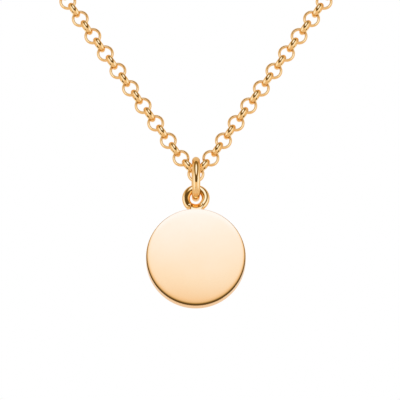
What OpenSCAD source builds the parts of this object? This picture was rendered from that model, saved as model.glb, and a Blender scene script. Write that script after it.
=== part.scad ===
// Plain disc pendant on a whole loop of round-link chain, hanging as it does when worn.
// Millimetres. The front faces -Y, +Z is up, and the origin is at the nape, in the middle of the clasp.

/* [Disc] */
// Diameter of the disc
disc_d = 15; // [13:0.5:16]
// Thickness of the disc
disc_t = 2; // [1.6:0.1:2.2]
// Rounding of the disc's two edges
disc_edge_r = 0.25; // [0.15:0.05:0.35]

/* [Eye] */
// Outer diameter of the eye that is soldered on the disc's rim
eye_d = 4.14; // [4.1:0.02:4.2]
// Thickness of the eye's wire
eye_wire = 1.19; // [1.14:0.01:1.2]
// How deep the eye sits in the rim
eye_sink = 0.28; // [0.2:0.02:0.4]
// Thickness of the run of solder at the eye's foot
solder_d = 0.8; // [0.6:0.1:1]

/* [Jump ring] */
// Outer diameter of the jump ring
ring_d = 6.78; // [6.6:0.02:6.8]
// Thickness of its wire
ring_wire = 1.22; // [1.1:0.02:1.24]

/* [Chain] */
// Outer diameter of a link
link_d = 2.57; // [2.55:0.01:2.6]
// Thickness of a link's wire, from the hole outwards
link_t = 0.4; // [0.36:0.01:0.4]
// Distance from one link's centre to the next
link_pitch = 1.665; // [1.62:0.005:1.665]
// Number of links from the centre link to the clasp, on each side
links_per_side = 120; // [118:2:120]

/* [Loop] */
// Slope of the two straight arms of the V
arm_slope = 54.9; // [54:0.1:56]
// Slope of the first two links beside the centre link
first_slope = 47.5; // [46:0.5:50]
// Radius of the stretch round the back of the neck
neck_r = 50; // [49:0.5:50]
// How steeply the chain climbs to the nape where it passes the neck
climb = 25; // [23:1:27]

/* [Clasp] */
// Outer diameter of the clasp's ring
clasp_d = 5.5; // [5:0.1:6]
// Thickness of its wire
clasp_wire = 0.8; // [0.7:0.05:0.9]

/* [Hidden] */
gold = [0.93, 0.72, 0.43];
pale_gold = [0.96, 0.80, 0.56];

// Clear space where two loose pieces would touch
ring_gap = 0.08;
clasp_gap = 0.12;

// A link's section is a lens: a round back, and a hole that bulges just enough for its neighbour to turn in it
link_r = link_d / 2;
link_hole_r = link_r - link_t;
link_back_r = 0.45;
link_bulge_r = 0.78;

// Heights of the pendant's parts, from the centre link's centre
ring_r = (ring_d - ring_wire) / 2;
ring_hole_r = ring_r - ring_wire / 2;
ring_z = link_r + ring_gap - ring_hole_r;
ring_foot_z = ring_z - ring_r;
eye_r = (eye_d - eye_wire) / 2;
eye_hole_r = eye_r - eye_wire / 2;
eye_z = ring_foot_z + ring_wire / 2 + ring_gap - eye_hole_r;
disc_top_z = eye_z - eye_d / 2 + eye_sink;
disc_z = disc_top_z - disc_d / 2;
solder_half_l = eye_d * 0.32;

// Route of one half of the loop: two links beside the centre link, a straight arm,
// a round shoulder that turns back, and a quarter circle round the neck
clasp_r = (clasp_d - clasp_wire) / 2;
last_link_reach = clasp_r - clasp_wire / 2 + link_hole_r - clasp_gap;
half_l = links_per_side * link_pitch + last_link_reach;
first_l = 2 * link_pitch;
first_dir = [cos(first_slope), 0, sin(first_slope)];
arm_dir = [cos(arm_slope), 0, sin(arm_slope)];
climb_dir = [0, cos(climb), sin(climb)];
back_dir = [-1, 0, 0];
shoulder_turn = acos(arm_dir * climb_dir);
neck_turn = 90;
neck_l = neck_r * PI / 2;
to_side = (neck_r - first_l * cos(first_slope)) / cos(arm_slope);
shoulder_share = shoulder_turn * PI / 180 - tan(shoulder_turn / 2);
shoulder_r = (half_l - first_l - neck_l - to_side) / shoulder_share;
shoulder_l = shoulder_r * shoulder_turn * PI / 180;
arm_l = to_side - shoulder_r * tan(shoulder_turn / 2);
shoulder_axis = unit(cross(arm_dir, climb_dir));
neck_axis = unit(cross(climb_dir, back_dir));

// Where each stretch starts, as a point and as a length along the route
arm_from = first_l * first_dir;
shoulder_from = arm_from + arm_l * arm_dir;
neck_from = arc_point(shoulder_from, arm_dir, climb_dir, shoulder_r, shoulder_turn, shoulder_turn);
nape = arc_point(neck_from, climb_dir, back_dir, neck_r, neck_turn, neck_turn);
shoulder_s = first_l + arm_l;
neck_s = shoulder_s + shoulder_l;

function unit(v) = v / norm(v);

// Point at an angle along an arc that leaves along the heading and turns towards the target direction
function arc_point(from, heading, target, r, whole, angle) =
    let (inward = (target - cos(whole) * heading) / sin(whole))
    from + r * (sin(angle) * heading + (1 - cos(angle)) * inward);

function degrees_along(l, r) = l / r * 180 / PI;

function route_point(s) =
    s <= first_l ? s * first_dir :
    s <= shoulder_s ? arm_from + (s - first_l) * arm_dir :
    s <= neck_s ?
        arc_point(shoulder_from, arm_dir, climb_dir, shoulder_r, shoulder_turn,
                  degrees_along(s - shoulder_s, shoulder_r)) :
        arc_point(neck_from, climb_dir, back_dir, neck_r, neck_turn,
                  degrees_along(s - neck_s, neck_r));

function slope_at(s) = s <= first_l ? first_slope : arm_slope;

// Carries a piece that is drawn on the straight arm to a length along the route, without twisting it
module along_route(s) {
    shoulder_a = s <= shoulder_s ? 0 : min(degrees_along(s - shoulder_s, shoulder_r), shoulder_turn);
    neck_a = s <= neck_s ? 0 : degrees_along(s - neck_s, neck_r);
    translate(route_point(s))
        rotate(a = neck_a, v = neck_axis)
            rotate(a = shoulder_a, v = shoulder_axis)
                children();
}

module wire_ring(r, wire) {
    rotate_extrude($fn = 72)
        translate([r, 0])
            circle(d = wire, $fn = 36);
}

// One link, lying flat
module link() {
    rotate_extrude($fn = 48)
        intersection() {
            translate([link_r - link_back_r, 0])
                circle(r = link_back_r, $fn = 48);
            translate([link_hole_r + link_bulge_r, 0])
                circle(r = link_bulge_r, $fn = 72);
        }
}

module facing_link() {
    rotate([90, 0, 0])
        link();
}

module edge_on_link(slope) {
    rotate([0, -slope, 0])
        link();
}

// Links from the centre link to the clasp, in turn edge-on and facing
module chain_half() {
    for (i = [1 : links_per_side])
        along_route(i * link_pitch)
            if (i % 2 == 1)
                edge_on_link(slope_at((i + 0.5) * link_pitch));
            else
                facing_link();
}

module disc_blank() {
    core_r = disc_d / 2 - disc_edge_r;
    core_t = disc_t - 2 * disc_edge_r;
    rotate_extrude($fn = 180) {
        translate([0, -disc_t / 2])
            square([core_r, disc_t]);
        translate([0, -core_t / 2])
            square([disc_d / 2, core_t]);
        for (side = [-1, 1])
            translate([core_r, side * core_t / 2])
                circle(r = disc_edge_r, $fn = 36);
    }
}

module solder_run() {
    rotate([0, 90, 0])
        cylinder(h = 2 * solder_half_l, d = solder_d, center = true, $fn = 36);
    for (side = [-1, 1])
        translate([side * solder_half_l, 0, 0])
            sphere(d = solder_d, $fn = 36);
}

module disc() {
    color(pale_gold)
        translate(-nape)
            union() {
                translate([0, 0, disc_z])
                    rotate([90, 0, 0])
                        disc_blank();
                translate([0, 0, eye_z])
                    rotate([90, 0, 0])
                        wire_ring(eye_r, eye_wire);
                translate([0, 0, disc_top_z - solder_d / 4])
                    solder_run();
            }
}

module jump_ring() {
    color(gold)
        translate(-nape + [0, 0, ring_z])
            rotate([0, 90, 0])
                wire_ring(ring_r, ring_wire);
}

module centre_link() {
    color(gold)
        translate(-nape)
            facing_link();
}

module chain_right() {
    color(gold)
        translate(-nape)
            chain_half();
}

module chain_left() {
    color(gold)
        translate(-nape)
            mirror([1, 0, 0])
                chain_half();
}

// The clasp takes the place of the link in the middle of the back
module clasp() {
    color(gold)
        translate(-nape)
            along_route(half_l)
                edge_on_ring();
}

module edge_on_ring() {
    rotate([0, -arm_slope, 0])
        wire_ring(clasp_r, clasp_wire);
}

disc();
jump_ring();
centre_link();
chain_left();
chain_right();
clasp();
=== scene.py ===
"""A round disc pendant on a whole loop of belcher chain, hanging free, in polished warm gold."""

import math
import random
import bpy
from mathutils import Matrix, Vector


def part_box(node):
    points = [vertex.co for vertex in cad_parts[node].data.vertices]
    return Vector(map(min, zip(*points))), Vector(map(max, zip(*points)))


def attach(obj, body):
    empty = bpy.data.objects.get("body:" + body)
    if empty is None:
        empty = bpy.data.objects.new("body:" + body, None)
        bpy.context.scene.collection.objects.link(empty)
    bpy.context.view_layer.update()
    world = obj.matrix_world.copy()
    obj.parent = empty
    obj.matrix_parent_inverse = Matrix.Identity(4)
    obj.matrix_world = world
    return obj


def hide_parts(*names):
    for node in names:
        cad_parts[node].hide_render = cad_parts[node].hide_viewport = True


bl_info = {
    "name": "Disc pendant necklace",
    "version": (1, 0, 0),
    "blender": (4, 5, 0),
    "location": "View3D > Sidebar > Pendant",
    "description": "Builds a plain disc pendant, its rings and its chain, with a pale studio stage",
    "category": "Add Mesh",
}

import bpy
from bpy.props import BoolProperty, FloatProperty, FloatVectorProperty, IntProperty, PointerProperty
from mathutils import Matrix, Vector

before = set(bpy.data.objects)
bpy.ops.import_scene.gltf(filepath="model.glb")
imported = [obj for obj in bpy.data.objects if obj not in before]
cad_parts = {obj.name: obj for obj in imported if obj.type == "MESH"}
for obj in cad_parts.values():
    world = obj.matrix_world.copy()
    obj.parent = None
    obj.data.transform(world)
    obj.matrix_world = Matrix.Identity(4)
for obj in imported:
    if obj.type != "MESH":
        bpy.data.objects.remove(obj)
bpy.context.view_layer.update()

MM = 0.001
UP = Vector((0, 0, 1))
SIDEWAYS = Vector((1, 0, 0))
BACKWARDS = Vector((0, 1, 0))

# Steps along the disc's face, along its corner and across its rim
FACE_STEPS = 60
CORNER_STEPS = 8
RIM_STEPS = 6
# Power of the distance from its middle with which the disc's face turns over
FALL_POWER = 40

# Turn from the eye's top at which its wire starts to spread into the foot, and turn that the spread takes
FOOT_STARTS = math.radians(132)
FOOT_SPREADS = math.radians(26)
# Search for the surface of the eye from the middle of its wire, in radii of the wire
SEARCH_STARTS = 0.3
SEARCH_STEP = 0.06
SEARCH_ENDS = 2.6
DEEP_IN_DISC = 0.4

# How much wider across a link is here than its solid, in millimetres
LINK_FULLER = 0.02
# Steps round a link's wire: its back, each corner and the wall of its hole
LINK_BACK_STEPS = 9
LINK_CORNER_STEPS = 3
LINK_HOLE_STEPS = 4
# The centre link is in the middle of the picture, so it has more steps round than the others
CENTRE_LINK_FINER = 2
# Seeds of the play in the links of each half
RIGHT_SEED = 3
LEFT_SEED = 7

# How near to the camera a thing is still drawn, against the distance to the pendant
NEAREST_SEEN = 0.05
# Roughness of the disc's plate and of the links' plate, against that of the round wire
DISC_ROUGHNESS = 0.6
LINK_POLISH_ROUGHNESS = 1.6
LINK_WEAR_ROUGHNESS = 1.4


def node_centre(node):
    """Middle of a node's box, at rest."""
    low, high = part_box(node)
    return (Vector(low) + Vector(high)) / 2


def node_size(node):
    """Extent of a node's box along each axis, at rest."""
    low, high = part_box(node)
    return Vector(high) - Vector(low)


# Settings

def length(name, description, millimetres):
    """A length in metres, given in millimetres."""
    return FloatProperty(
        name=name, description=description, default=millimetres * MM, min=0, unit="LENGTH", precision=5
    )


def angle(name, description, degrees):
    """An angle in radians, given in degrees."""
    return FloatProperty(name=name, description=description, default=math.radians(degrees), unit="ROTATION")


def share(name, description, value):
    """A share from none to all."""
    return FloatProperty(name=name, description=description, default=value, min=0, max=1, subtype="FACTOR")


def number(name, description, value, least=0):
    """A plain number without a unit."""
    return FloatProperty(name=name, description=description, default=value, min=least)


def count(name, description, value):
    """A number of steps or links."""
    return IntProperty(name=name, description=description, default=value, min=3)


def colour(name, description, rgb):
    """A colour of light or of metal, which may be brighter than white."""
    return FloatVectorProperty(
        name=name, description=description, default=rgb, size=3, min=0, soft_max=2, subtype="COLOR"
    )


class DiscSizes(bpy.types.PropertyGroup):
    """The round tag and the eye soldered on its rim."""

    diameter: length("Diameter", "Across the disc", node_size("disc").x / MM)
    thickness: length("Thickness", "From face to face", node_size("disc").y / MM)
    crown: angle("Crown", "Tilt of the faintly domed face at the rim", 1.1)
    fall: angle("Fall", "How much further the polished edge turns over", 13)
    corner: length("Corner", "Width of the corner between the face and the rim", 0.08)
    eye_diameter: length("Eye diameter", "Across the outside of the eye", 4.14)
    eye_wire: length("Eye wire", "Thickness of the eye's wire", 1.19)
    eye_lean: angle("Eye lean", "Slope of the eye's wire at its sides, as it winds a little", 6.5)
    eye_flatness: number("Eye flatness", "Two for round wire, more where flattened", 2.25)
    solder: length("Solder", "How widely the solder flares along the rim", 0.08)
    foot_front: length("Foot front", "From the middle plane to the front of the eye's foot", 0.86)
    foot_lean: angle("Foot lean", "How far the foot's steep front leans back", 17)
    foot_slope: angle("Foot slope", "How far the foot leans back from there to the hole", 47)
    solder_dip: length("Solder dip", "How far the solder dips under the rim and rounds its ridges", 0.03)
    solder_inset: length("Solder inset", "How far the solder stays behind the disc's faces", 0.14)
    around: count("Steps around", "Steps round the disc", 256)
    eye_around: count("Steps around the eye", "Steps round the eye", 120)
    eye_across: count("Steps across the eye", "Steps round the eye's wire", 96)


class RingSizes(bpy.types.PropertyGroup):
    """The jump ring and the clasp, both plain round wire."""

    jump_wire: length("Jump ring wire", "Thickness of the jump ring's wire", node_size("jump_ring").x / MM)
    seam: length("Seam", "Width of the closed cut in the jump ring", 0.05)
    seam_pinch: share("Seam pinch", "How much the wire is drawn in at the cut", 0.06)
    seam_at: angle("Seam place", "Where the cut is, from the top towards the back", 38)
    jump_turn: angle("Jump ring turn", "How far the jump ring has turned aside in its play", 1.3)
    clasp_wire: length("Clasp wire", "Thickness of the clasp's wire", 0.8)
    around: count("Steps around", "Steps round each ring", 160)
    across: count("Steps across", "Steps round the wire", 40)


class ChainSizes(bpy.types.PropertyGroup):
    """The belcher links and the route that they follow."""

    link_diameter: length(
        "Link diameter", "Across the outside of a link", node_size("centre_link").x / MM + LINK_FULLER
    )
    link_thickness: length("Link thickness", "From the hole to the outside", 0.43)
    back_radius: length("Back radius", "Rounding of the link's outside", 0.45)
    bulge_radius: length("Bulge radius", "Rounding of the wall of the link's hole", 0.78)
    corner_radius: length("Corner radius", "Rounding where the two meet", 0.05)
    pitch: length("Pitch", "From one link's centre to the next", 1.665)
    links: count("Links per side", "Links from the centre link to the clasp", 120)
    clasp_gap: length("Clasp gap", "Clear space between the clasp and the last link", 0.12)
    arm_slope: angle("Arm slope", "Slope of the straight arms of the V", 54.9)
    first_slope: angle("First slope", "Slope of the two links beside the centre link", 47.5)
    climb: angle("Climb", "Slope of the chain where it passes the side of the neck", 25)
    neck_radius: length("Neck radius", "Radius of the stretch round the back of the neck", 50)
    twist: angle("Twist", "Most that a link is turned out of line", 1.2)
    around: count("Steps around", "Steps round a link", 34)


class GoldFinish(bpy.types.PropertyGroup):
    """Colours and polish of the gold plate."""

    warm: colour("Warm gold", "Colour of most of the plate", (1.0, 0.71, 0.32))
    pale: colour("Pale gold", "Colour where the plate is a little lighter", (1.0, 0.75, 0.37))
    disc_pale: colour("Pale disc", "Lighter colour of the disc's plate", (1.0, 0.77, 0.47))
    disc_warm: colour("Warm disc", "Deeper colour of the disc's plate", (1.0, 0.75, 0.44))
    polish: share("Polish", "Roughness of the brightest polish", 0.05)
    wear: share("Wear", "Roughness where fine scratches gather", 0.13)


class StudioSettings(bpy.types.PropertyGroup):
    """The camera, the light tent and the floor."""

    camera_rise: angle("Camera rise", "How far the camera looks up at the pendant", 13.3)
    lens: number("Lens", "Focal length in millimetres", 500, least=50)
    view_width: length("View width", "What the picture is across, at the pendant", 60.3)
    aim_right: length("Aim right", "From the centre link to the middle of the picture", 0.62)
    aim_down: length("Aim down", "From the centre link down to the middle of the picture", 4.02)
    floor_drop: length("Floor drop", "From the nape down to the floor", 1300)
    floor_width: length("Floor width", "Across the square floor", 2000)
    light: number("Light", "Brightness of the tent's white walls", 1.0)
    white: BoolProperty(
        name="White backdrop", description="Show plain white behind the piece", default=True
    )


class PendantSettings(bpy.types.PropertyGroup):
    """Everything that a user would change."""

    disc: PointerProperty(type=DiscSizes)
    rings: PointerProperty(type=RingSizes)
    chain: PointerProperty(type=ChainSizes)
    gold: PointerProperty(type=GoldFinish)
    studio: PointerProperty(type=StudioSettings)


# Mesh making

def make_piece(name, vertices, faces, material):
    """Makes a smooth object of one material."""
    mesh = bpy.data.meshes.new(name)
    mesh.from_pydata(vertices, [], faces)
    mesh.validate()
    mesh.shade_smooth()
    mesh.materials.append(material)
    piece = bpy.data.objects.new(name, mesh)
    bpy.context.scene.collection.objects.link(piece)
    return piece


def grid_faces(rows, columns, flip=False):
    """Faces of a grid of vertices that closes on itself both ways."""
    faces = []
    for row in range(rows):
        below = ((row + 1) % rows) * columns
        here = row * columns
        for column in range(columns):
            beside = (column + 1) % columns
            face = (here + column, here + beside, below + beside, below + column)
            faces.append(face[::-1] if flip else face)
    return faces


def arc(centre, radius, start, end, steps):
    """Points along an arc, from start up to but not including end."""
    points = []
    for step in range(steps):
        turn = start + (end - start) * step / steps
        points.append((centre[0] + radius * math.cos(turn), centre[1] + radius * math.sin(turn)))
    return points


def turned_ring(outline, steps):
    """Vertices of a closed outline, as (distance, height) points, turned about Z."""
    vertices = []
    for step in range(steps):
        turn = math.tau * step / steps
        for distance, height in outline:
            vertices.append(Vector((distance * math.cos(turn), distance * math.sin(turn), height)))
    return vertices


def axis_to(direction):
    """Turns a ring that lies flat so that its axis points along the direction."""
    return UP.rotation_difference(direction).to_matrix().to_4x4()


# The disc and its eye

def face_tilt(disc, distance):
    """How far the polished face has turned towards the rim, at a distance from its middle."""
    out = distance / (disc.diameter / 2)
    return disc.crown * out + disc.fall * out ** FALL_POWER


def edge_profile(disc):
    """Half of the disc's outline, from near the middle of the front face to the same place on the back."""
    radius = disc.diameter / 2
    face_end = radius - disc.corner
    front = []
    depth = 0
    before = 0
    for step in range(1, FACE_STEPS + 1):
        distance = face_end * math.sin(math.pi / 2 * step / FACE_STEPS)
        depth += (distance - before) * math.tan(face_tilt(disc, (distance + before) / 2))
        before = distance
        front.append((distance, depth - disc.thickness / 2))
    last_tilt = face_tilt(disc, face_end)
    corner = disc.corner / (1 - math.sin(last_tilt))
    middle_depth = front[-1][1] + corner * math.cos(last_tilt)
    for step in range(1, CORNER_STEPS + 1):
        turn = last_tilt + (math.pi / 2 - last_tilt) * step / CORNER_STEPS
        front.append((radius - corner + corner * math.sin(turn), middle_depth - corner * math.cos(turn)))
    side = -middle_depth
    rim = [(radius, side * (2 * step / RIM_STEPS - 1)) for step in range(1, RIM_STEPS)]
    back = [(distance, -height) for distance, height in reversed(front)]
    return front + rim + back


def disc_shell(disc, centre):
    """Vertices and faces of the tag, with its axis along Y."""
    profile = edge_profile(disc)
    columns = len(profile)
    vertices = []
    for step in range(disc.around):
        turn = math.tau * step / disc.around
        for distance, height in profile:
            vertices.append(centre + Vector((distance * math.cos(turn), height, distance * math.sin(turn))))
    faces = []
    for step in range(disc.around):
        here = step * columns
        after = (step + 1) % disc.around * columns
        for column in range(columns - 1):
            faces.append((here + column, here + column + 1, after + column + 1, after + column))
    front_middle = len(vertices)
    vertices.append(centre - BACKWARDS * (disc.thickness / 2))
    back_middle = len(vertices)
    vertices.append(centre + BACKWARDS * (disc.thickness / 2))
    for step in range(disc.around):
        here = step * columns
        after = (step + 1) % disc.around * columns
        faces.append((front_middle, here, after))
        faces.append((back_middle, after + columns - 1, here + columns - 1))
    return vertices, faces


def depth_in_disc(disc, point):
    """Distance from a disc a little smaller than the tag, less than nothing inside it."""
    edge = disc.corner
    outward = math.hypot(point.x, point.z) - (disc.diameter / 2 - disc.solder_dip - edge)
    across = abs(point.y) - (disc.thickness / 2 - disc.solder_inset - edge)
    outside = math.hypot(max(outward, 0), max(across, 0))
    return outside + min(max(outward, across), 0) - edge


def foot_share(turn):
    """How far the eye's wire has spread into its foot, at a turn from its top."""
    spread = min(max((abs(turn) - FOOT_STARTS) / FOOT_SPREADS, 0), 1)
    return spread * spread * (3 - 2 * spread)


def wound_back(disc, turn):
    """How far back the eye's wire has wound, at a turn from its top. It ends in the middle, at its foot."""
    side = abs(turn)
    wound = side - math.pi / 4
    if side < math.pi / 2:
        wound = side / 2 - math.sin(2 * side) / 4
    wound = math.copysign(wound, turn) * (1 - foot_share(turn))
    return wound * (disc.eye_diameter - disc.eye_wire) / 2 * math.tan(disc.eye_lean)


def melted(first, second, reach):
    """Joins two distances with a fillet."""
    weight = min(max(0.5 + 0.5 * (second - first) / reach, 0), 1)
    return second + (first - second) * weight - reach * weight * (1 - weight)


def depth_in_foot(disc, across, inward):
    """Distance from the section of the eye's foot: a steep front, and a slope from there to the hole."""
    wire_radius = disc.eye_wire / 2
    rise = inward + wire_radius / 2
    front = (across - disc.foot_front) * math.cos(disc.foot_lean) + max(rise, 0) * math.sin(disc.foot_lean)
    rounded = math.hypot(across, disc.solder_dip) - disc.solder_dip
    slope = rounded * math.cos(disc.foot_slope) + (inward - wire_radius) * math.sin(disc.foot_slope)
    return max(-melted(-front, -slope, disc.solder_dip), -inward - wire_radius)


def depth_in_wire(disc, point):
    """Distance from the eye's wire, which is a little flattened by its polish."""
    wire_radius = disc.eye_wire / 2
    turn = math.atan2(-point.x, point.z)
    outward = math.hypot(point.x, point.z) - disc.eye_diameter / 2 + wire_radius
    back = abs(point.y - wound_back(disc, turn))
    flatness = disc.eye_flatness
    in_wire = (abs(outward) ** flatness + back ** flatness) ** (1 / flatness) - wire_radius
    spread = foot_share(turn)
    if spread == 0:
        return in_wire
    return in_wire + (depth_in_foot(disc, back, -outward) - in_wire) * spread


def soldered_depth(disc, point, eye_centre, disc_centre):
    """Distance from the eye and the disc, with solder between them."""
    in_disc = depth_in_disc(disc, point - disc_centre)
    in_wire = depth_in_wire(disc, point - eye_centre)
    return melted(in_disc, in_wire, disc.solder)


def soldered_reach(disc, eye_centre, disc_centre, start, direction):
    """How far the surface of the soldered eye is from the middle of its wire, along a direction."""
    wire_radius = disc.eye_wire / 2
    step = wire_radius * SEARCH_STEP
    deep_enough = -wire_radius * DEEP_IN_DISC
    reach = wire_radius * SEARCH_STARTS
    before = soldered_depth(disc, start + direction * reach, eye_centre, disc_centre)
    while reach < wire_radius * SEARCH_ENDS:
        point = start + direction * (reach + step)
        after = soldered_depth(disc, point, eye_centre, disc_centre)
        if after >= 0:
            return reach + step * before / (before - after)
        if reach > wire_radius and depth_in_disc(disc, point - disc_centre) < deep_enough:
            return reach
        reach += step
        before = after
    return reach


def eye_shell(disc, eye_centre, disc_centre):
    """Vertices and faces of the eye, with the solder that flares onto the rim."""
    radius = (disc.eye_diameter - disc.eye_wire) / 2
    vertices = []
    for step in range(disc.eye_around):
        turn = math.tau * step / disc.eye_around - math.pi
        outward = Vector((-math.sin(turn), 0, math.cos(turn)))
        start = eye_centre + outward * radius + BACKWARDS * wound_back(disc, turn)
        for side in range(disc.eye_across):
            lean = math.tau * side / disc.eye_across
            direction = outward * math.cos(lean) + BACKWARDS * math.sin(lean)
            reach = soldered_reach(disc, eye_centre, disc_centre, start, direction)
            vertices.append(start + direction * reach)
    return vertices, grid_faces(disc.eye_around, disc.eye_across, flip=True)


class PENDANT_OT_disc(bpy.types.Operator):
    """Makes the mirror-polished disc and the eye soldered on its rim"""

    bl_idname = "pendant.disc"
    bl_label = "Disc and eye"

    def execute(self, context):
        settings = context.scene.pendant
        disc = settings.disc
        low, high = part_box("disc")
        disc_centre = Vector((0, (low[1] + high[1]) / 2, low[2] + disc.diameter / 2))
        eye_centre = Vector((0, disc_centre.y, high[2] - disc.eye_diameter / 2))
        vertices, faces = disc_shell(disc, disc_centre)
        tag = make_piece("round_tag", vertices, faces, disc_gold(settings.gold))
        vertices, faces = eye_shell(disc, eye_centre, disc_centre)
        eye = make_piece("soldered_eye", vertices, faces, wire_gold(settings.gold))
        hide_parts("disc")
        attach(tag, "disc")
        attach(eye, "disc")
        return {"FINISHED"}


# The jump ring and the clasp

def wire_outline(radius, wire, steps):
    """Outline of round wire that is bent to a ring."""
    return arc((radius, 0), wire / 2, 0, math.tau, steps)


class PENDANT_OT_jump_ring(bpy.types.Operator):
    """Makes the jump ring, with the fine closed cut of a bent wire"""

    bl_idname = "pendant.jump_ring"
    bl_label = "Jump ring"

    def execute(self, context):
        settings = context.scene.pendant
        rings = settings.rings
        wire = rings.jump_wire
        radius = (node_size("jump_ring").z - wire) / 2
        centre = node_centre("jump_ring")
        stand = Matrix.Translation(centre) @ Matrix.Rotation(rings.jump_turn, 4, UP) @ axis_to(SIDEWAYS)
        vertices = []
        for vertex in turned_ring(wire_outline(radius, wire, rings.across), rings.around):
            vertices.append(stand @ self.pinched(vertex, radius, rings))
        ring = make_piece(
            "wire_jump_ring", vertices, grid_faces(rings.around, rings.across), wire_gold(settings.gold)
        )
        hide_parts("jump_ring")
        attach(ring, "jump_ring")
        return {"FINISHED"}

    def pinched(self, vertex, radius, rings):
        """Draws the wire in a little at the cut. The ring still lies flat, with its top towards -X."""
        turn = math.atan2(vertex.y, -vertex.x) - rings.seam_at
        away = abs(turn) * radius
        if away > rings.seam:
            return vertex
        middle = Vector((vertex.x, vertex.y, 0)).normalized() * radius
        depth = rings.seam_pinch * (1 - away / rings.seam)
        return middle + (vertex - middle) * (1 - depth)


class PENDANT_OT_clasp(bpy.types.Operator):
    """Makes the plain ring that closes the loop at the nape"""

    bl_idname = "pendant.clasp"
    bl_label = "Clasp"

    def execute(self, context):
        settings = context.scene.pendant
        rings = settings.rings
        route = Route(settings.chain, clasp_reach(settings))
        radius = (node_size("clasp").x - rings.clasp_wire) / 2
        stand = route.place(route.whole) @ link_stand(route.heading(route.arm_starts), False)
        outline = wire_outline(radius, rings.clasp_wire, rings.across)
        vertices = [stand @ vertex for vertex in turned_ring(outline, rings.around)]
        clasp = make_piece(
            "clasp_ring", vertices, grid_faces(rings.around, rings.across), wire_gold(settings.gold)
        )
        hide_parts("clasp")
        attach(clasp, "chain")
        return {"FINISHED"}


# The chain

def arc_point(start, heading, target, radius, whole, turn):
    """Point along an arc that leaves along the heading and turns towards the target."""
    inward = (target - heading * math.cos(whole)) / math.sin(whole)
    return start + radius * (heading * math.sin(turn) + inward * (1 - math.cos(turn)))


def sloped(slope):
    """Direction that climbs to the right by the slope."""
    return Vector((math.cos(slope), 0, math.sin(slope)))


def clasp_reach(settings):
    """From the clasp's middle to the middle of the last link."""
    chain = settings.chain
    radius = (node_size("clasp").x - settings.rings.clasp_wire) / 2
    hole = chain.link_diameter / 2 - chain.link_thickness
    return radius - settings.rings.clasp_wire / 2 + hole - chain.clasp_gap


class Route:
    """Half of the loop: two links, a straight arm, a round shoulder and a quarter turn round the neck."""

    def __init__(self, chain, last_reach):
        self.start = node_centre("centre_link")
        self.first_dir = sloped(chain.first_slope)
        self.arm_dir = sloped(chain.arm_slope)
        self.climb_dir = Vector((0, math.cos(chain.climb), math.sin(chain.climb)))
        self.back_dir = -SIDEWAYS
        self.neck_radius = chain.neck_radius
        self.whole = chain.links * chain.pitch + last_reach
        self.arm_starts = 2 * chain.pitch
        self.shoulder_turn = self.arm_dir.angle(self.climb_dir)
        self.neck_turn = math.pi / 2
        half_turn = math.tan(self.shoulder_turn / 2)
        to_side = (chain.neck_radius - self.arm_starts * self.first_dir.x) / self.arm_dir.x
        spare = self.whole - self.arm_starts - chain.neck_radius * self.neck_turn - to_side
        self.shoulder_radius = spare / (self.shoulder_turn - half_turn)
        arm = to_side - self.shoulder_radius * half_turn
        self.shoulder_starts = self.arm_starts + arm
        self.neck_starts = self.shoulder_starts + self.shoulder_radius * self.shoulder_turn
        self.arm_from = self.start + self.first_dir * self.arm_starts
        self.shoulder_from = self.arm_from + self.arm_dir * arm
        self.neck_from = self.on_shoulder(self.shoulder_turn)
        self.shoulder_axis = self.arm_dir.cross(self.climb_dir).normalized()
        self.neck_axis = self.climb_dir.cross(self.back_dir).normalized()

    def on_shoulder(self, turn):
        return arc_point(
            self.shoulder_from, self.arm_dir, self.climb_dir, self.shoulder_radius, self.shoulder_turn, turn
        )

    def on_neck(self, turn):
        return arc_point(
            self.neck_from, self.climb_dir, self.back_dir, self.neck_radius, self.neck_turn, turn
        )

    def turns(self, along):
        """How far the chain has turned on the shoulder and round the neck."""
        shoulder = (along - self.shoulder_starts) / self.shoulder_radius
        neck = (along - self.neck_starts) / self.neck_radius
        return min(max(shoulder, 0), self.shoulder_turn), max(neck, 0)

    def point(self, along):
        if along <= self.arm_starts:
            return self.start + self.first_dir * along
        if along <= self.shoulder_starts:
            return self.arm_from + self.arm_dir * (along - self.arm_starts)
        shoulder, neck = self.turns(along)
        if neck > 0:
            return self.on_neck(neck)
        return self.on_shoulder(shoulder)

    def heading(self, along):
        """Direction of the straight stretch that a link near the pendant lies on."""
        return self.first_dir if along < self.arm_starts else self.arm_dir

    def place(self, along):
        """Carries a link that stands on the arm to its place along the route, without twisting it."""
        shoulder, neck = self.turns(along)
        turned = Matrix.Rotation(neck, 4, self.neck_axis) @ Matrix.Rotation(shoulder, 4, self.shoulder_axis)
        return Matrix.Translation(self.point(along)) @ turned


def link_stand(heading, facing):
    """Stands a link on the arm: facing the front, or edge-on to it."""
    if facing:
        return axis_to(BACKWARDS)
    return axis_to(heading.cross(BACKWARDS))


def link_outline(chain):
    """Outline of a link's wire: a round back, a bulging hole wall and a small radius between them."""
    back = chain.back_radius
    bulge = chain.bulge_radius
    corner = chain.corner_radius
    back_at = chain.link_diameter / 2 - back
    bulge_at = chain.link_diameter / 2 - chain.link_thickness + bulge
    apart = bulge_at - back_at
    corner_out = (apart ** 2 + (back - corner) ** 2 - (bulge - corner) ** 2) / (2 * apart)
    corner_up = math.sqrt((back - corner) ** 2 - corner_out ** 2)
    corner_at = back_at + corner_out
    back_ends = math.atan2(corner_up, corner_out)
    bulge_starts = math.atan2(corner_up, corner_at - bulge_at)
    outline = arc((back_at, 0), back, -back_ends, back_ends, LINK_BACK_STEPS)
    outline += arc((corner_at, corner_up), corner, back_ends, bulge_starts, LINK_CORNER_STEPS)
    outline += arc((bulge_at, 0), bulge, bulge_starts, math.tau - bulge_starts, LINK_HOLE_STEPS)
    outline += arc((corner_at, -corner_up), corner, -bulge_starts, -back_ends, LINK_CORNER_STEPS)
    return outline


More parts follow.
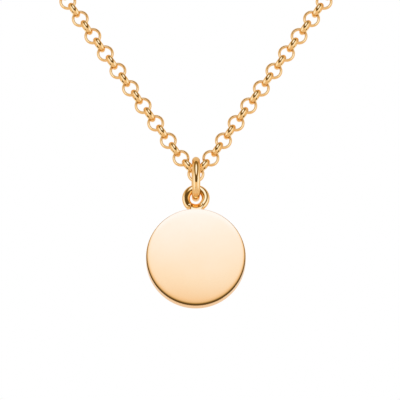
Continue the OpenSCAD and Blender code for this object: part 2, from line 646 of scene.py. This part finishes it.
def link_in_place(route, chain, number, chance):
    """The stand of one link of the right half, with a little of the play that real links have."""
    along = number * chain.pitch
    facing = number % 2 == 0
    heading = route.heading(along + chain.pitch / 2)
    play = Matrix.Rotation(chance.uniform(-chain.twist, chain.twist), 4, heading)
    return route.place(along) @ play @ link_stand(heading, facing)


def chain_half(chain, route, mirrored):
    """Vertices and faces of all links from the centre link to the clasp, on one side."""
    outline = link_outline(chain)
    ring = turned_ring(outline, chain.around)
    ring_faces = grid_faces(chain.around, len(outline), flip=mirrored)
    side = Matrix.Scale(-1, 4, SIDEWAYS) if mirrored else Matrix.Identity(4)
    chance = random.Random(LEFT_SEED if mirrored else RIGHT_SEED)
    vertices = []
    faces = []
    for number in range(1, chain.links + 1):
        stand = side @ link_in_place(route, chain, number, chance)
        first = len(vertices)
        vertices.extend(stand @ vertex for vertex in ring)
        faces.extend(tuple(first + index for index in face) for face in ring_faces)
    return vertices, faces


class PENDANT_OT_chain(bpy.types.Operator):
    """Makes the centre link and both halves of the belcher chain"""

    bl_idname = "pendant.chain"
    bl_label = "Chain"

    def execute(self, context):
        settings = context.scene.pendant
        chain = settings.chain
        gold = link_gold(settings.gold)
        route = Route(chain, clasp_reach(settings))
        outline = link_outline(chain)
        around = chain.around * CENTRE_LINK_FINER
        stand = Matrix.Translation(route.start) @ link_stand(route.first_dir, True)
        vertices = [stand @ vertex for vertex in turned_ring(outline, around)]
        link = make_piece("belcher_centre_link", vertices, grid_faces(around, len(outline)), gold)
        self.dress(link, "centre_link")
        for name, mirrored in (("right", False), ("left", True)):
            vertices, faces = chain_half(chain, route, mirrored)
            half = make_piece("belcher_links_" + name, vertices, faces, gold)
            self.dress(half, "chain_" + name)
        return {"FINISHED"}

    def dress(self, piece, node):
        """Puts a piece of the chain in its node's place."""
        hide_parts(node)
        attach(piece, "chain")


# Materials

def add_node(tree, kind, **values):
    """Adds a node, and sets its properties and its named inputs."""
    node = tree.nodes.new(kind)
    for name, value in values.items():
        if hasattr(node, name):
            setattr(node, name, value)
        else:
            node.inputs[name.replace("_", " ")].default_value = value
    return node


def gold_plate(name, warm, pale, polish, wear, scratch_scale, patch_scale):
    """Polished gold plate: patches of slightly different colour, and hairlines from the polishing wheel."""
    material = bpy.data.materials.new(name)
    material.use_nodes = True
    tree = material.node_tree
    tree.nodes.clear()
    link = tree.links.new
    output = add_node(tree, "ShaderNodeOutputMaterial")
    shader = add_node(tree, "ShaderNodeBsdfPrincipled", Metallic=1.0)
    place = add_node(tree, "ShaderNodeTexCoord")
    patches = add_node(tree, "ShaderNodeTexNoise", Scale=patch_scale, Detail=3.0, Roughness=0.5)
    tint = add_node(tree, "ShaderNodeValToRGB")
    for stop, position, metal in zip(tint.color_ramp.elements, (0.35, 0.65), (warm, pale)):
        stop.position = position
        stop.color = (*metal, 1)
    stretch = add_node(
        tree, "ShaderNodeMapping", Scale=(1.0, 1.0, 0.08), Rotation=(0.0, math.radians(35), 0.0)
    )
    hairlines = add_node(tree, "ShaderNodeTexNoise", Scale=scratch_scale, Detail=4.0, Roughness=0.6)
    gloss = add_node(
        tree, "ShaderNodeMapRange", From_Min=0.45, From_Max=0.8, To_Min=polish, To_Max=wear
    )
    relief = add_node(tree, "ShaderNodeBump", Strength=0.04, Distance=0.00002)
    link(place.outputs["Object"], patches.inputs["Vector"])
    link(place.outputs["Object"], stretch.inputs["Vector"])
    link(stretch.outputs["Vector"], hairlines.inputs["Vector"])
    link(patches.outputs["Fac"], tint.inputs["Fac"])
    link(tint.outputs["Color"], shader.inputs["Base Color"])
    link(hairlines.outputs["Fac"], gloss.inputs["Value"])
    link(gloss.outputs["Result"], shader.inputs["Roughness"])
    link(hairlines.outputs["Fac"], relief.inputs["Height"])
    link(relief.outputs["Normal"], shader.inputs["Normal"])
    link(shader.outputs["BSDF"], output.inputs["Surface"])
    return material


def kept_material(name, make):
    """The material of that name, made only once."""
    return bpy.data.materials.get(name) or make(name)


def disc_gold(gold):
    """The mirror polish of the disc."""
    return kept_material("mirror_gold_plate", lambda name: gold_plate(
        name, gold.disc_warm, gold.disc_pale, gold.polish * DISC_ROUGHNESS, gold.wear * DISC_ROUGHNESS,
        scratch_scale=9000.0, patch_scale=160.0))


def wire_gold(gold):
    """The polish of the eye, the jump ring and the clasp."""
    return kept_material("round_wire_gold_plate", lambda name: gold_plate(
        name, gold.warm, gold.pale, gold.polish, gold.wear, scratch_scale=12000.0, patch_scale=500.0))


def link_gold(gold):
    """The softer polish of the links, which are tumbled."""
    return kept_material("belcher_gold_plate", lambda name: gold_plate(
        name, gold.warm, gold.pale, gold.polish * LINK_POLISH_ROUGHNESS, gold.wear * LINK_WEAR_ROUGHNESS,
        scratch_scale=14000.0, patch_scale=900.0))


def floor_paper():
    """Pale matt sheet with a very fine tooth. It glows a little from within in a warm tint, as a light
    table would: painted light that brightens and warms its reflection in the gold.
    """
    material = bpy.data.materials.new("pale_floor_paper")
    material.use_nodes = True
    tree = material.node_tree
    shader = tree.nodes["Principled BSDF"]
    shader.inputs["Roughness"].default_value = 0.9
    # Painted glow: a warm emission that brightens the floor as the gold mirrors it
    shader.inputs["Emission Color"].default_value = (1.0, 0.72, 0.5, 1)
    shader.inputs["Emission Strength"].default_value = 0.25
    place = add_node(tree, "ShaderNodeTexCoord")
    tooth = add_node(tree, "ShaderNodeTexNoise", Scale=60.0, Detail=5.0)
    tint = add_node(tree, "ShaderNodeValToRGB")
    for stop, grey in zip(tint.color_ramp.elements, (0.86, 0.90)):
        stop.color = (grey, grey, grey, 1)
    tree.links.new(place.outputs["Object"], tooth.inputs["Vector"])
    tree.links.new(tooth.outputs["Fac"], tint.inputs["Fac"])
    tree.links.new(tint.outputs["Color"], shader.inputs["Base Color"])
    return material


# The stage

class TentNodes:
    """Writes the walls of the light tent, by direction, into the world's nodes."""

    # Keeps the middle of a panel from being divided by nothing
    LEAST = 0.0001

    def __init__(self, tree, brightness):
        self.tree = tree
        self.level = brightness
        place = add_node(tree, "ShaderNodeTexCoord")
        self.direction = place.outputs["Generated"]

    def math(self, operation, *values):
        """The outcome of one sum. The values are numbers or sockets."""
        node = add_node(self.tree, "ShaderNodeMath", operation=operation)
        for socket, value in zip(node.inputs, values):
            if isinstance(value, (int, float)):
                socket.default_value = value
            else:
                self.tree.links.new(value, socket)
        return node.outputs["Value"]

    def along(self, axis):
        """How far the direction looked in points along an axis."""
        node = add_node(self.tree, "ShaderNodeVectorMath", operation="DOT_PRODUCT")
        self.tree.links.new(self.direction, node.inputs[0])
        node.inputs[1].default_value = axis
        return node.outputs["Value"]

    def panel(self, azimuth, elevation, half_width, half_height, softness, brightness, squareness=2.0):
        """Hangs a rounded panel over those hung before it. Angles are in degrees, seen from the piece."""
        turn = math.radians(azimuth)
        rise = math.radians(elevation)
        middle = Vector((math.sin(turn) * math.cos(rise), -math.cos(turn) * math.cos(rise), math.sin(rise)))
        right = Vector((math.cos(turn), math.sin(turn), 0))
        over = middle.cross(right)
        if over.z < 0:
            over = -over
        sideways = self.along(right)
        upwards = self.along(over)
        flat = self.math("SQRT", self.math(
            "ADD", self.math("MULTIPLY", sideways, sideways), self.math("MULTIPLY", upwards, upwards)))
        away = self.math("ARCTAN2", flat, self.along(middle))
        stretch = self.math("DIVIDE", away, self.math("MAXIMUM", flat, self.LEAST))
        across = self.math("ABSOLUTE", self.math("MULTIPLY", sideways, stretch))
        high = self.math("ABSOLUTE", self.math("MULTIPLY", upwards, stretch))
        out = self.math("POWER", self.math(
            "ADD",
            self.math("POWER", self.math("DIVIDE", across, math.radians(half_width)), squareness),
            self.math("POWER", self.math("DIVIDE", high, math.radians(half_height)), squareness),
        ), 1 / squareness)
        edge = add_node(self.tree, "ShaderNodeMapRange", interpolation_type="SMOOTHSTEP")
        edge.inputs["From Min"].default_value = 1 + softness
        edge.inputs["From Max"].default_value = 1 - softness
        self.tree.links.new(out, edge.inputs["Value"])
        cover = edge.outputs["Result"]
        kept = self.math("MULTIPLY", self.level, self.math("SUBTRACT", 1.0, cover))
        self.level = self.math("ADD", kept, self.math("MULTIPLY", cover, brightness))


# Name of each brightness in the tent, its place from unlit to full, and its colour
TENT_COLOURS = (
    ("unlit", 0.00, (0.06, 0.042, 0.022)),
    ("shade", 0.15, (0.26, 0.17, 0.06)),
    ("half shade", 0.30, (0.50, 0.345, 0.155)),
    ("warm wall", 0.45, (0.66, 0.49, 0.27)),
    ("wall", 0.60, (0.83, 0.65, 0.50)),
    ("bright wall", 0.75, (0.94, 0.77, 0.64)),
    ("soft light", 0.88, (1.00, 1.00, 1.12)),
    ("daylight", 1.00, (1.05, 1.25, 1.90)),
)


def tent_colour(tree):
    """Colours from the unlit opening to the daylight of the lamp."""
    walls = add_node(tree, "ShaderNodeValToRGB")
    ramp = walls.color_ramp
    while len(ramp.elements) > 1:
        ramp.elements.remove(ramp.elements[-1])
    for index, (_, position, rgb) in enumerate(TENT_COLOURS):
        stop = ramp.elements[0] if index == 0 else ramp.elements.new(position)
        stop.position = position
        stop.color = (*rgb, 1)
    return walls


def hang_tent(tree):
    """The walls, the side strips, the unlit opening round the camera, and the lamp over it.

    The two angles that come first are each panel's azimuth, from the camera's side, and its elevation.
    """
    tent = TentNodes(tree, brightness=0.55)
    tent.panel(180, -12, half_width=60, half_height=28, softness=0.4, brightness=0.67)
    tent.panel(0, -62, half_width=60, half_height=36, softness=0.3, brightness=0.66)
    for side in (-1, 1):
        tent.panel(side * 66, -14, half_width=28, half_height=38, softness=0.35, brightness=0.92)
    tent.panel(0, 50, half_width=52, half_height=47, softness=0.04, brightness=0.13, squareness=3.0)
    tent.panel(0, -8, half_width=36, half_height=20, softness=0.12, brightness=0.04, squareness=3.0)
    tent.panel(0, 41, half_width=20, half_height=33, softness=0.12, brightness=0.85)
    tent.panel(0, 40, half_width=15, half_height=27, softness=0.14, brightness=1.0)
    return tent.level


def light_tent(studio):
    """A tent of white cloth round the piece, with plain white behind it for the camera."""
    world = bpy.data.worlds.new("light_tent")
    bpy.context.scene.world = world
    world.use_nodes = True
    tree = world.node_tree
    tree.nodes.clear()
    walls = tent_colour(tree)
    tree.links.new(hang_tent(tree), walls.inputs["Fac"])
    shine = add_node(tree, "ShaderNodeBackground", Strength=studio.light)
    tree.links.new(walls.outputs["Color"], shine.inputs["Color"])
    output = add_node(tree, "ShaderNodeOutputWorld")
    if not studio.white:
        tree.links.new(shine.outputs["Background"], output.inputs["Surface"])
        return
    backdrop = add_node(tree, "ShaderNodeBackground", Color=(1, 1, 1, 1), Strength=1.0)
    seen = add_node(tree, "ShaderNodeLightPath")
    mix = add_node(tree, "ShaderNodeMixShader")
    tree.links.new(seen.outputs["Is Camera Ray"], mix.inputs["Fac"])
    tree.links.new(shine.outputs["Background"], mix.inputs[1])
    tree.links.new(backdrop.outputs["Background"], mix.inputs[2])
    tree.links.new(mix.outputs["Shader"], output.inputs["Surface"])


def pale_floor(studio):
    """A plain sheet far under the necklace."""
    half = studio.floor_width / 2
    height = -studio.floor_drop
    corners = [(-half, -half, height), (half, -half, height), (half, half, height), (-half, half, height)]
    floor = make_piece("pale_floor", corners, [(0, 1, 2, 3)], floor_paper())


def studio_camera(studio):
    """A long lens in front of the pendant, looking a little up at it."""
    data = bpy.data.cameras.new("studio_camera")
    data.lens = studio.lens
    distance = studio.view_width / data.sensor_width * studio.lens
    aim = node_centre("centre_link") + Vector((studio.aim_right, 0, -studio.aim_down))
    rise = studio.camera_rise
    looking = Vector((0, math.cos(rise), math.sin(rise)))
    camera = bpy.data.objects.new("studio_camera", data)
    camera.location = aim - looking * distance
    camera.rotation_euler = looking.to_track_quat("-Z", "Y").to_euler()
    data.clip_start = distance * NEAREST_SEEN
    bpy.context.scene.collection.objects.link(camera)
    bpy.context.scene.camera = camera


class PENDANT_OT_stage(bpy.types.Operator):
    """Makes the camera, the light tent and the pale floor"""

    bl_idname = "pendant.stage"
    bl_label = "Stage"

    def execute(self, context):
        studio = context.scene.pendant.studio
        context.scene.view_settings.view_transform = "Standard"
        studio_camera(studio)
        light_tent(studio)
        pale_floor(studio)
        return {"FINISHED"}


# The panel and registering

class PENDANT_PT_panel(bpy.types.Panel):
    """Sizes, colours and the steps that build the necklace"""

    bl_idname = "PENDANT_PT_panel"
    bl_label = "Disc pendant"
    bl_space_type = "VIEW_3D"
    bl_region_type = "UI"
    bl_category = "Pendant"

    def draw(self, context):
        settings = context.scene.pendant
        for step in STEPS:
            self.layout.operator(step.bl_idname)
        for title, group in (
            ("Disc", settings.disc),
            ("Rings", settings.rings),
            ("Chain", settings.chain),
            ("Gold", settings.gold),
            ("Studio", settings.studio),
        ):
            box = self.layout.box()
            box.label(text=title)
            for name in group.__annotations__:
                box.prop(group, name)


STEPS = (PENDANT_OT_stage, PENDANT_OT_disc, PENDANT_OT_jump_ring, PENDANT_OT_chain, PENDANT_OT_clasp)
GROUPS = (DiscSizes, RingSizes, ChainSizes, GoldFinish, StudioSettings, PendantSettings)
CLASSES = (*GROUPS, *STEPS, PENDANT_PT_panel)


def register():
    for one in CLASSES:
        bpy.utils.register_class(one)
    bpy.types.Scene.pendant = PointerProperty(type=PendantSettings)


def unregister():
    del bpy.types.Scene.pendant
    for one in reversed(CLASSES):
        bpy.utils.unregister_class(one)


def main():
    register()
    bpy.ops.pendant.stage()
    bpy.ops.pendant.disc()
    bpy.ops.pendant.jump_ring()
    bpy.ops.pendant.chain()
    bpy.ops.pendant.clasp()


if __name__ == "__main__":
    main()
